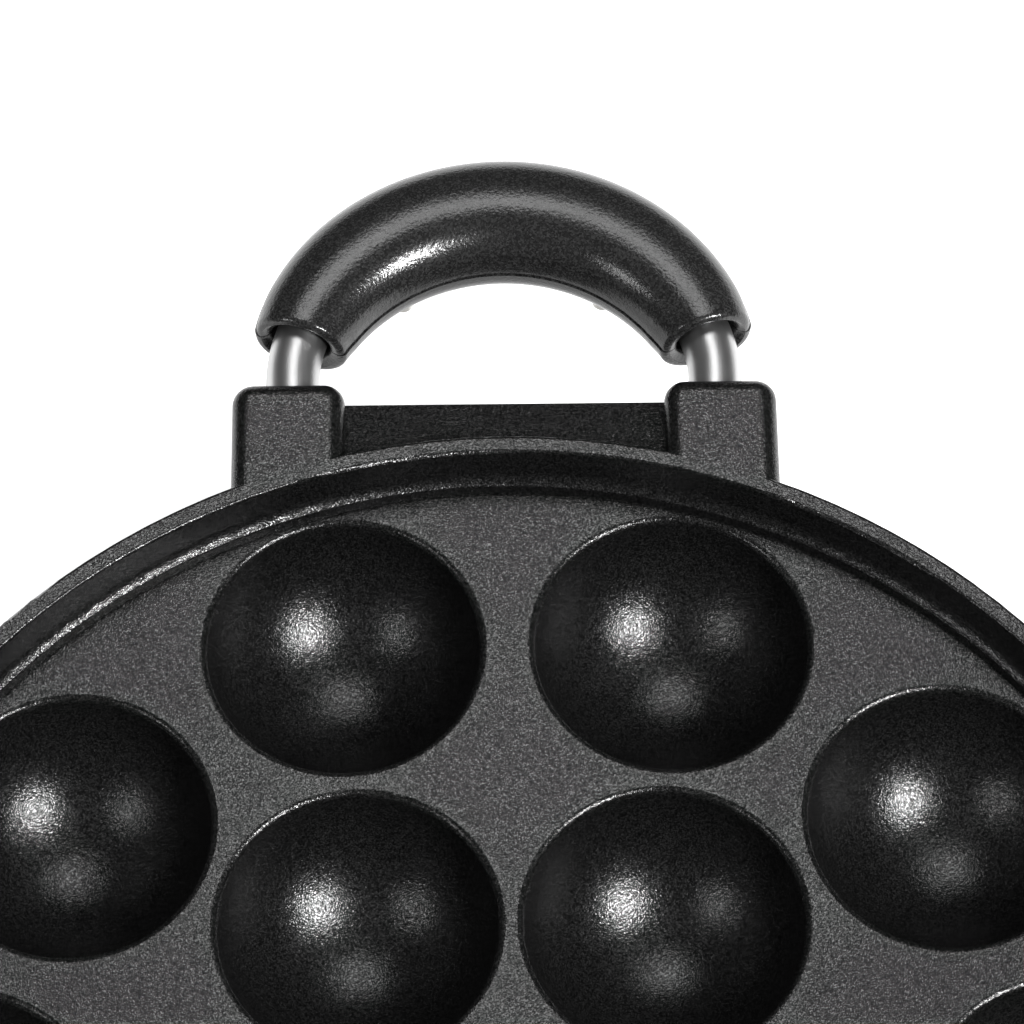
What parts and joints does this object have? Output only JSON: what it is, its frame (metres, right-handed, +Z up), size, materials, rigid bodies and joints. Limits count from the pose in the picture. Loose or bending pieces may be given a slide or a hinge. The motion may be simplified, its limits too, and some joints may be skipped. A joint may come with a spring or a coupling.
{
  "type": "donut maker",
  "caption": "Electric maker for ball donuts: a round black non-stick cooking plate with ball cavities and two loop handles lifts off a round heating base with a dial.",
  "frame": {"origin": "on the table, under the centre of the cooking plate", "axes": "+Z up; +Y towards the rear handle; +X towards the control dial; the power inlet is on -X"},
  "size_m": [0.256, 0.3602, 0.078],
  "materials": {
    "nonstick": "black speckled non-stick coating on a casting",
    "steel_rod": "satin, drawn lengthwise",
    "grip": "black phenolic, semi-gloss with a fine grain",
    "screw": "zinc plated",
    "shell": "black moulding, fine spark texture",
    "cover": "dark grey moulding",
    "rubber_foot": "matt",
    "dial": "black moulding, satin",
    "pointer": "white inlay",
    "red_lens": "clear red",
    "green_lens": "clear green",
    "lamp_glass": "clear",
    "inlet": "black moulding",
    "brass_pin": "nickelled",
    "bright_dish": "bright pressed sheet",
    "insulation": "mineral felt",
    "element": "oxidised sheath",
    "bracket": "plain",
    "rest": "heat-proof moulding",
    "thermostat": "brown phenolic with a steel bush",
    "terminal": "ivory moulding",
    "live_wire": "brown sleeve",
    "neutral_wire": "blue sleeve",
    "earth_wire": "green sleeve"
  },
  "bodies": {
    "base": {"base_cover": "cover", "base_shell": "shell", "cover_screws": "screw", "earth_wire": "earth_wire", "element_cradles": "bracket", "element_terminals": "steel_rod", "front_left_foot": "rubber_foot", "front_right_foot": "rubber_foot", "fuse_clamp": "bracket", "heating_element": "element", "inlet_pins": "brass_pin", "insulation_pad": "insulation", "lamp_wires": "live_wire", "live_wires": "live_wire", "neon_lamps": "lamp_glass", "neutral_wires": "neutral_wire", "plate_rests": "rest", "power_inlet": "inlet", "power_lamp_lens": "red_lens", "ready_lamp_lens": "green_lens", "rear_left_foot": "rubber_foot", "rear_right_foot": "rubber_foot", "reflector_dish": "bright_dish", "terminal_block": "terminal", "thermal_fuse": "bracket", "thermostat": "thermostat", "thermostat_nut": "screw"},
    "plate": {"cooking_plate": "nonstick", "rear_handle_rod": "steel_rod", "front_handle_rod": "steel_rod", "rear_grip_top": "grip", "rear_grip_bottom": "grip", "front_grip_top": "grip", "front_grip_bottom": "grip", "grip_screws": "screw", "rod_set_screws": "screw"},
    "dial": {"control_dial": "dial", "dial_pointer": "pointer", "dial_spindle": "steel_rod"}
  },
  "joints": [
    {"name": "plate_lift", "type": "slide", "parent": "base", "child": "plate", "axis": [0, 0, 1], "range_m": [0, 0.08]},
    {"name": "dial_turn", "type": "hinge", "parent": "base", "child": "dial", "pos_m": [0.118, 0, 0.0283], "axis": [-1, 0, 0], "range_deg": [0, 270]}
  ]
}
